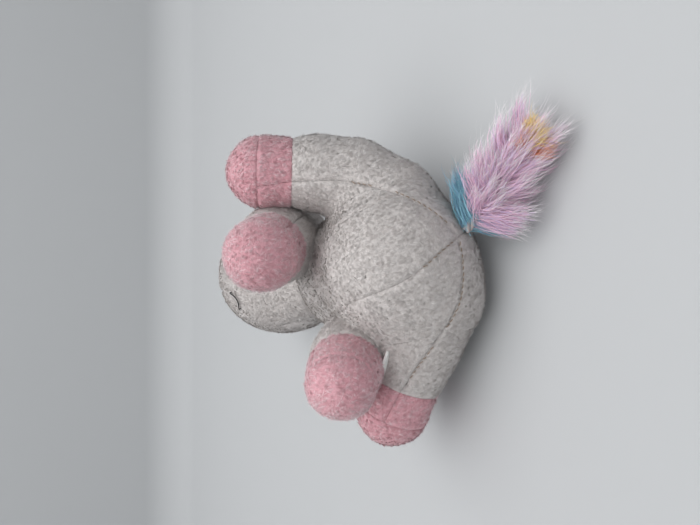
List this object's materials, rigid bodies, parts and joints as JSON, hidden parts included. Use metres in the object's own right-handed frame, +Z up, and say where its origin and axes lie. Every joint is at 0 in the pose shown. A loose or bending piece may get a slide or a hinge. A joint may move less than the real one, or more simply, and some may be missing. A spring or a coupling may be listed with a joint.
{
  "type": "plush unicorn",
  "caption": "Small stuffed unicorn lying on its back with its legs in the air: plush covers over stuffing, sprung legs and neck, horn, fur mane and tail.",
  "frame": {"origin": "under the rump, on the flat of the back that the toy rests on", "axes": "+Z up, +Y from the rump towards the head, +X towards the toy's left"},
  "size_m": [0.1125, 0.2038, 0.0843],
  "materials": {
    "grey_plush": "short pile plush",
    "pink_plush": "short pile plush",
    "fill": "matte polyester fibre",
    "pellets": "matte",
    "thread": "matte sewing thread",
    "horn_cloth": "soft satin",
    "gold_thread": "metallic thread",
    "fur_rose": "long pile fur",
    "fur_lilac": "long pile fur",
    "fur_aqua": "long pile fur",
    "fur_gold": "long pile fur",
    "backing": "knit backing",
    "satin": "satin"
  },
  "bodies": {
    "torso": {"belly_panel_left": "grey_plush", "belly_panel_right": "grey_plush", "body_fill": "fill", "pellet_bag": "pellets", "side_panel_left": "grey_plush", "side_panel_right": "grey_plush"},
    "head": {"eye_left": "thread", "eye_right": "thread", "forelock": "fur_rose", "head_fill": "fill", "head_gusset": "grey_plush", "head_side_left": "grey_plush", "head_side_right": "grey_plush", "horn_cover": "horn_cloth", "horn_fill": "fill", "horn_thread": "gold_thread", "mane_aqua": "fur_aqua", "mane_gold": "fur_gold", "mane_lilac": "fur_lilac", "mane_rose": "fur_rose", "mouth_stitch": "thread", "muzzle_cover": "grey_plush", "muzzle_fill": "fill", "neck_cover": "grey_plush", "nostril_left": "thread", "nostril_right": "thread"},
    "ear_left": {"ear_left_back": "grey_plush", "ear_left_lining": "pink_plush"},
    "ear_right": {"ear_right_back": "grey_plush", "ear_right_lining": "pink_plush"},
    "hind_left": {"hind_left_cuff_inner": "pink_plush", "hind_left_cuff_outer": "pink_plush", "hind_left_leg_fill": "fill", "hind_left_leg_inner": "grey_plush", "hind_left_leg_outer": "grey_plush", "hind_left_sole": "pink_plush"},
    "hind_right": {"care_label": "satin", "hind_right_cuff_inner": "pink_plush", "hind_right_cuff_outer": "pink_plush", "hind_right_leg_fill": "fill", "hind_right_leg_inner": "grey_plush", "hind_right_leg_outer": "grey_plush", "hind_right_sole": "pink_plush"},
    "front_left": {"front_left_cuff_inner": "pink_plush", "front_left_cuff_outer": "pink_plush", "front_left_leg_fill": "fill", "front_left_leg_inner": "grey_plush", "front_left_leg_outer": "grey_plush", "front_left_sole": "pink_plush"},
    "front_right": {"front_right_cuff_inner": "pink_plush", "front_right_cuff_outer": "pink_plush", "front_right_leg_fill": "fill", "front_right_leg_inner": "grey_plush", "front_right_leg_outer": "grey_plush", "front_right_sole": "pink_plush"},
    "tail": {"tail_aqua": "fur_aqua", "tail_core": "backing", "tail_gold": "fur_gold", "tail_rose": "fur_rose"}
  },
  "joints": [
    {"name": "neck_nod", "type": "hinge", "parent": "torso", "child": "head", "pos_m": [-0.006, 0.0615, 0.025], "axis": [1, 0, 0], "range_deg": [-8, 15], "stiffness_Nm_per_rad": 0.16},
    {"name": "ear_left_flap", "type": "hinge", "parent": "head", "child": "ear_left", "pos_m": [0.012, 0.12855, 0.0335], "axis": [1, 0, 0], "range_deg": [-25, 25], "stiffness_Nm_per_rad": 0.002},
    {"name": "ear_right_flap", "type": "hinge", "parent": "head", "child": "ear_right", "pos_m": [-0.023, 0.12855, 0.0335], "axis": [1, 0, 0], "range_deg": [-25, 25], "stiffness_Nm_per_rad": 0.002},
    {"name": "hind_left_hip", "type": "hinge", "parent": "torso", "child": "hind_left", "pos_m": [0.0225, 0.0065, 0.026], "axis": [1, 0, 0], "range_deg": [-3, 6], "stiffness_Nm_per_rad": 0.05},
    {"name": "hind_right_hip", "type": "hinge", "parent": "torso", "child": "hind_right", "pos_m": [-0.0125, -0.0045, 0.0148], "axis": [0, 0, 1], "range_deg": [-2, 22], "stiffness_Nm_per_rad": 0.05},
    {"name": "front_left_shoulder", "type": "hinge", "parent": "torso", "child": "front_left", "pos_m": [0.011, 0.053, 0.044], "axis": [0.8582, 0.2181, 0.4646], "range_deg": [-22, 0], "stiffness_Nm_per_rad": 0.04},
    {"name": "front_right_shoulder", "type": "hinge", "parent": "torso", "child": "front_right", "pos_m": [-0.0275, 0.0325, 0.0275], "axis": [0.8582, 0.2181, 0.4646], "range_deg": [-25, 0], "stiffness_Nm_per_rad": 0.04},
    {"name": "tail_wag", "type": "hinge", "parent": "torso", "child": "tail", "pos_m": [0.0116, -0.0204, 0.017], "axis": [0, 0, 1], "range_deg": [-30, 10], "stiffness_Nm_per_rad": 0.01}
  ]
}
